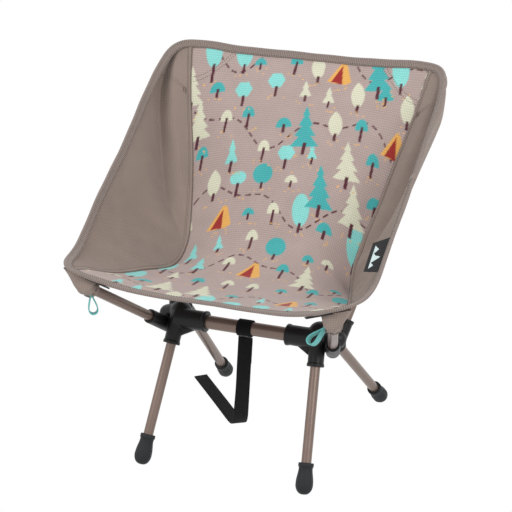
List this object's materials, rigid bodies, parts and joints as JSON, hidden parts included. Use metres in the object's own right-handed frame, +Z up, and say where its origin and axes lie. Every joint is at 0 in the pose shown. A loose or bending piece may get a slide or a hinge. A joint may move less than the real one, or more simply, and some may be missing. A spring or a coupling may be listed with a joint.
{
  "type": "folding camp chair",
  "caption": "Low packable camp chair: a shock-corded tube frame with two moulded hubs carries a fabric bucket seat and backrest.",
  "frame": {"origin": "on the ground under the middle of the chair's outline, the strap left out", "axes": "+Z up, the seat opens towards -Y, +X to the right of a viewer who faces the seat"},
  "size_m": [0.4186, 0.3875, 0.4984],
  "materials": {
    "anodised_tube": "satin taupe anodised",
    "ferrule_metal": "brushed",
    "hub_plastic": "fine moulded satin",
    "rivet_steel": "satin",
    "foot_rubber": "matte",
    "tip_plastic": "satin",
    "shock_cord": "braided",
    "printed_fabric": "woven, printed",
    "plain_fabric": "woven",
    "binding_tape": "ribbed tape",
    "loop_tape": "woven tape",
    "label_weave": "fine weave",
    "strap_webbing": "looped pile"
  },
  "bodies": {
    "chair": {"back_pocket_left": "plain_fabric", "back_pocket_right": "plain_fabric", "back_pole_ferrule_left": "ferrule_metal", "back_pole_ferrule_right": "ferrule_metal", "back_pole_lower_left": "anodised_tube", "back_pole_lower_right": "anodised_tube", "back_pole_tip_left": "tip_plastic", "back_pole_tip_right": "tip_plastic", "back_pole_upper_left": "anodised_tube", "back_pole_upper_right": "anodised_tube", "centre_panel": "printed_fabric", "crossbar": "anodised_tube", "crossbar_rivet_left": "rivet_steel", "crossbar_rivet_right": "rivet_steel", "edge_binding": "binding_tape", "front_pocket_left": "plain_fabric", "front_pocket_right": "plain_fabric", "hub_left": "hub_plastic", "hub_right": "hub_plastic", "leg_cord_left": "shock_cord", "leg_cord_right": "shock_cord", "pole_cord_left": "shock_cord", "pole_cord_right": "shock_cord", "pull_loop_left": "loop_tape", "pull_loop_right": "loop_tape", "seat_pole_left": "anodised_tube", "seat_pole_right": "anodised_tube", "seat_pole_tip_left": "tip_plastic", "seat_pole_tip_right": "tip_plastic", "side_panel_left": "plain_fabric", "side_panel_right": "plain_fabric", "strap_hanging": "strap_webbing", "strap_ring": "strap_webbing", "strap_tail": "strap_webbing", "woven_label": "label_weave"},
    "front_leg_left": {"front_leg_left": "anodised_tube", "front_foot_cap_left": "foot_rubber"},
    "front_leg_right": {"front_leg_right": "anodised_tube", "front_foot_cap_right": "foot_rubber"},
    "rear_leg_left": {"rear_leg_left": "anodised_tube", "rear_foot_cap_left": "foot_rubber"},
    "rear_leg_right": {"rear_leg_right": "anodised_tube", "rear_foot_cap_right": "foot_rubber"}
  },
  "joints": [
    {"name": "front_leg_left_pull", "type": "slide", "parent": "chair", "child": "front_leg_left", "axis": [-0.0786, -0.4608, -0.884], "range_m": [0, 0.035], "stiffness_N_per_m": 300, "springref_m": -0.015},
    {"name": "front_leg_right_pull", "type": "slide", "parent": "chair", "child": "front_leg_right", "axis": [0.0786, -0.4608, -0.884], "range_m": [0, 0.035], "stiffness_N_per_m": 300, "springref_m": -0.015},
    {"name": "rear_leg_left_pull", "type": "slide", "parent": "chair", "child": "rear_leg_left", "axis": [-0.0786, 0.732, -0.6767], "range_m": [0, 0.035], "stiffness_N_per_m": 300, "springref_m": -0.015},
    {"name": "rear_leg_right_pull", "type": "slide", "parent": "chair", "child": "rear_leg_right", "axis": [0.0786, 0.732, -0.6767], "range_m": [0, 0.035], "stiffness_N_per_m": 300, "springref_m": -0.015}
  ]
}
